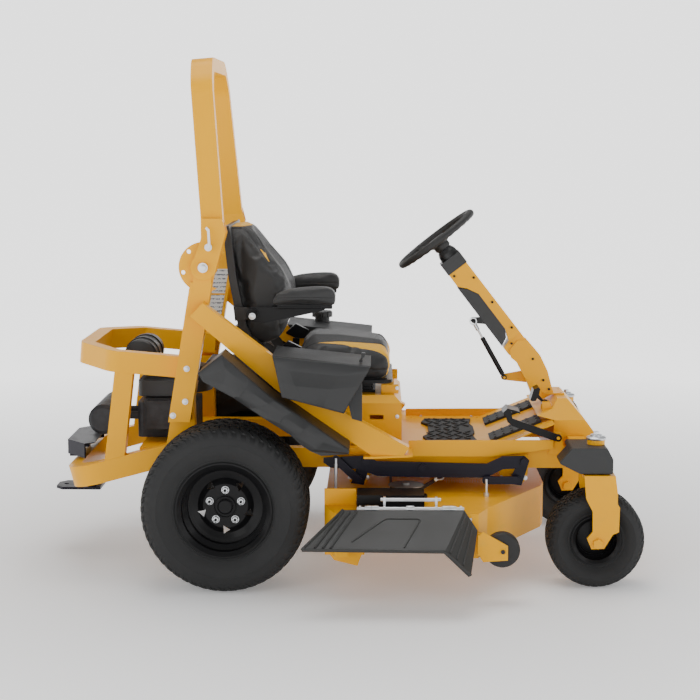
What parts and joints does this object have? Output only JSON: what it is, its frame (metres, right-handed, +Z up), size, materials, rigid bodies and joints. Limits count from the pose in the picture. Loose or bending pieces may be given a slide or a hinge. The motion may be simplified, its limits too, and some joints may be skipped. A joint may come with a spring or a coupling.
{
  "type": "zero turn mower",
  "caption": "Ride-on zero turn mower with steering wheel, folding roll-over hoop, sprung seat with flip-up arms, swivelling front wheels and a height-adjustable side-discharge cutting deck.",
  "frame": {"origin": "middle of the footprint's bounding box, on the ground", "axes": "+X forward, the way the machine drives; +Y to the operator's left; +Z up"},
  "size_m": [2.154, 1.616, 1.8471],
  "materials": {
    "yellow_paint": "gloss powder coat",
    "black_plastic": "textured",
    "tyre_rubber": "matte",
    "black_paint": "satin",
    "link_paint": "satin e-coat",
    "soft_grip": "matte",
    "seat_vinyl": "grained vinyl",
    "zinc_plate": "zinc plated",
    "blade_steel": "worn",
    "cast_aluminium": "as cast"
  },
  "bodies": {
    "chassis": {"main_frame": "yellow_paint", "chassis_hardware": "zinc_plate", "steering_covers": "black_plastic", "floor_pan": "yellow_paint", "floor_mats": "soft_grip", "seat_box": "yellow_paint", "front_body": "yellow_paint", "rops_uprights": "yellow_paint", "bumper_upper_loop": "yellow_paint", "bumper_lower_loop": "yellow_paint", "hitch_and_guard": "link_paint", "engine_block": "cast_aluminium", "engine_shroud": "black_plastic", "transaxles": "cast_aluminium", "fenders": "black_plastic", "side_pods": "black_plastic", "seat_suspension": "black_paint"},
    "seat": {"seat_pan": "black_paint", "seat_cushion": "seat_vinyl"},
    "backrest": {"backrest_shell": "seat_vinyl", "backrest_cushion": "seat_vinyl"},
    "column": {"upper_column": "yellow_paint", "column_trim": "black_plastic"},
    "steering_wheel": {"steering_wheel": "soft_grip"},
    "strut_cylinder": {"strut_cylinder": "black_paint"},
    "strut_rod": {"strut_rod": "zinc_plate"},
    "rops_hoop": {"rops_hoop": "yellow_paint"},
    "lock_pin_right": {"rops_lock_pin_right": "zinc_plate"},
    "lock_pin_left": {"rops_lock_pin_left": "zinc_plate"},
    "crankshaft": {"crankshaft": "blade_steel"},
    "deck": {"deck_shell": "yellow_paint", "deck_drive": "black_paint", "deck_hardware": "zinc_plate"},
    "chute": {"discharge_chute": "black_plastic"},
    "front_lift_crank": {"front_lift_crank": "link_paint"},
    "rear_lift_crank": {"rear_lift_crank": "link_paint"},
    "lift_bars": {"lift_bars": "link_paint"},
    "drive_pedal": {"drive_pedal": "black_paint"},
    "deck_lift_pedal": {"deck_lift_pedal": "black_paint"},
    "throttle_lever": {"throttle_lever": "black_plastic"},
    "fuel_cap": {"fuel_cap": "black_plastic"},
    "rear_wheel_right": {"rear_tyre_right": "tyre_rubber", "rear_rim_right": "black_paint"},
    "caster_right": {"caster_fork_right": "yellow_paint"},
    "front_wheel_right": {"front_tyre_right": "tyre_rubber", "front_rim_right": "black_paint"},
    "armrest_right": {"armrest_bracket_right": "black_paint", "armrest_pad_right": "seat_vinyl"},
    "anti_scalp_right": {"anti_scalp_wheel_right": "soft_grip"},
    "rear_wheel_left": {"rear_tyre_left": "tyre_rubber", "rear_rim_left": "black_paint"},
    "caster_left": {"caster_fork_left": "yellow_paint"},
    "front_wheel_left": {"front_tyre_left": "tyre_rubber", "front_rim_left": "black_paint"},
    "armrest_left": {"armrest_bracket_left": "black_paint", "armrest_pad_left": "seat_vinyl"},
    "anti_scalp_left": {"anti_scalp_wheel_left": "soft_grip"},
    "spindle_right": {"spindle_right": "blade_steel"},
    "spindle_middle": {"spindle_middle": "blade_steel"},
    "spindle_left": {"spindle_left": "blade_steel"}
  },
  "joints": [
    {"name": "rear_wheel_right_spin", "type": "hinge", "parent": "chassis", "child": "rear_wheel_right", "pos_m": [-0.386, -0.444, 0.292], "axis": [0, 1, 0], "continuous": true},
    {"name": "caster_right_swivel", "type": "hinge", "parent": "chassis", "child": "caster_right", "pos_m": [0.907, -0.4, 0.408], "axis": [0, 0, 1], "range_deg": [-85, 85]},
    {"name": "front_wheel_right_spin", "type": "hinge", "parent": "caster_right", "child": "front_wheel_right", "pos_m": [0.907, -0.4, 0.17], "axis": [0, 1, 0], "continuous": true},
    {"name": "armrest_right_flip", "type": "hinge", "parent": "backrest", "child": "armrest_right", "pos_m": [-0.309, -0.227, 0.932], "axis": [0, -1, 0], "range_deg": [0, 90]},
    {"name": "anti_scalp_right_spin", "type": "hinge", "parent": "deck", "child": "anti_scalp_right", "pos_m": [0.567, -0.622, 0.179], "axis": [0, 1, 0], "continuous": true},
    {"name": "rear_wheel_left_spin", "type": "hinge", "parent": "chassis", "child": "rear_wheel_left", "pos_m": [-0.386, 0.588, 0.292], "axis": [0, 1, 0], "continuous": true},
    {"name": "caster_left_swivel", "type": "hinge", "parent": "chassis", "child": "caster_left", "pos_m": [0.907, 0.544, 0.408], "axis": [0, 0, 1], "range_deg": [-85, 85]},
    {"name": "front_wheel_left_spin", "type": "hinge", "parent": "caster_left", "child": "front_wheel_left", "pos_m": [0.907, 0.544, 0.17], "axis": [0, 1, 0], "continuous": true},
    {"name": "armrest_left_flip", "type": "hinge", "parent": "backrest", "child": "armrest_left", "pos_m": [-0.309, 0.371, 0.932], "axis": [0, -1, 0], "range_deg": [0, 90]},
    {"name": "anti_scalp_left_spin", "type": "hinge", "parent": "deck", "child": "anti_scalp_left", "pos_m": [0.567, 0.766, 0.179], "axis": [0, 1, 0], "continuous": true},
    {"name": "spindle_right_spin", "type": "hinge", "parent": "deck", "child": "spindle_right", "pos_m": [0.244, -0.368, 0.3], "axis": [0, 0, 1], "continuous": true},
    {"name": "spindle_middle_spin", "type": "hinge", "parent": "deck", "child": "spindle_middle", "pos_m": [0.414, 0.072, 0.3], "axis": [0, 0, 1], "continuous": true},
    {"name": "spindle_left_spin", "type": "hinge", "parent": "deck", "child": "spindle_left", "pos_m": [0.244, 0.512, 0.3], "axis": [0, 0, 1], "continuous": true},
    {"name": "seat_slide", "type": "slide", "parent": "chassis", "child": "seat", "axis": [1, 0, 0], "range_m": [-0.06, 0.06]},
    {"name": "backrest_recline", "type": "hinge", "parent": "seat", "child": "backrest", "pos_m": [-0.236, 0.072, 0.745], "axis": [0, 1, 0], "range_deg": [-15, 5]},
    {"name": "column_tilt", "type": "hinge", "parent": "chassis", "child": "column", "pos_m": [0.68, 0.072, 0.77], "axis": [0, 1, 0], "range_deg": [0, 25]},
    {"name": "steering_wheel_turn", "type": "hinge", "parent": "column", "child": "steering_wheel", "pos_m": [0.35979, 0.072, 1.1873], "axis": [-0.6088, 0, 0.7934], "range_deg": [-150, 150]},
    {"name": "strut_swing", "type": "hinge", "parent": "chassis", "child": "strut_cylinder", "pos_m": [0.619, 0.066, 0.667], "axis": [0, 1, 0], "range_deg": [0, 18]},
    {"name": "strut_slide", "type": "slide", "parent": "strut_cylinder", "child": "strut_rod", "axis": [-0.4895, 0, 0.872], "range_m": [0, 0.041]},
    {"name": "rops_fold", "type": "hinge", "parent": "chassis", "child": "rops_hoop", "pos_m": [-0.466, 0.072, 1.115], "axis": [0, -1, 0], "range_deg": [0, 121]},
    {"name": "lock_pin_right_push", "type": "slide", "parent": "rops_hoop", "child": "lock_pin_right", "axis": [0, 1, 0], "range_m": [0, 0.011]},
    {"name": "lock_pin_left_push", "type": "slide", "parent": "rops_hoop", "child": "lock_pin_left", "axis": [0, -1, 0], "range_m": [0, 0.011]},
    {"name": "crankshaft_spin", "type": "hinge", "parent": "chassis", "child": "crankshaft", "pos_m": [-0.6, 0.072, 0.455], "axis": [0, 0, 1], "continuous": true},
    {"name": "deck_lift", "type": "slide", "parent": "chassis", "child": "deck", "axis": [0, 0, -1], "range_m": [0, 0.075]},
    {"name": "chute_hinge", "type": "hinge", "parent": "deck", "child": "chute", "pos_m": [0.254, -0.63, 0.32], "axis": [-1, 0, 0], "range_deg": [0, 100]},
    {"name": "front_lift_swing", "type": "hinge", "parent": "chassis", "child": "front_lift_crank", "pos_m": [0.637, 0.072, 0.356], "axis": [0, -1, 0], "range_deg": [0, 42]},
    {"name": "rear_lift_swing", "type": "hinge", "parent": "chassis", "child": "rear_lift_crank", "pos_m": [0.074, 0.072, 0.356], "axis": [0, -1, 0], "range_deg": [0, 42]},
    {"name": "lift_bar_swing", "type": "hinge", "parent": "front_lift_crank", "child": "lift_bars", "pos_m": [0.664, 0.072, 0.42], "axis": [0, 1, 0], "range_deg": [0, 42]},
    {"name": "drive_pedal_press", "type": "hinge", "parent": "chassis", "child": "drive_pedal", "pos_m": [0.76, -0.078, 0.592], "axis": [0, 1, 0], "range_deg": [0, 18], "stiffness_Nm_per_rad": 20, "springref_deg": -8.59},
    {"name": "deck_lift_pedal_press", "type": "hinge", "parent": "chassis", "child": "deck_lift_pedal", "pos_m": [0.788, -0.279, 0.5], "axis": [0, -1, 0], "range_deg": [0, 14], "stiffness_Nm_per_rad": 25, "springref_deg": -11.46},
    {"name": "throttle_lever_tilt", "type": "hinge", "parent": "chassis", "child": "throttle_lever", "pos_m": [0.085, -0.468, 0.80247], "axis": [0, 1, 0], "range_deg": [-20, 25]},
    {"name": "fuel_cap_twist", "type": "hinge", "parent": "chassis", "child": "fuel_cap", "pos_m": [-0.086, 0.632, 0.832], "axis": [0, 0, 1], "range_deg": [0, 90]}
  ],
  "couplings": [
    {"joint": "caster_left_swivel", "follows": "caster_right_swivel", "ratio": 1},
    {"joint": "steering_wheel_turn", "follows": "caster_right_swivel", "ratio": 1.75},
    {"joint": "strut_swing", "follows": "column_tilt", "ratio": 0.716},
    {"joint": "strut_slide", "follows": "column_tilt", "m_per_rad": 0.0928},
    {"joint": "front_lift_swing", "follows": "deck_lift", "rad_per_m": 9.6},
    {"joint": "rear_lift_swing", "follows": "deck_lift", "rad_per_m": 9.6},
    {"joint": "lift_bar_swing", "follows": "deck_lift", "rad_per_m": 9.6},
    {"joint": "spindle_right_spin", "follows": "spindle_middle_spin", "ratio": 1},
    {"joint": "spindle_left_spin", "follows": "spindle_middle_spin", "ratio": 1}
  ]
}
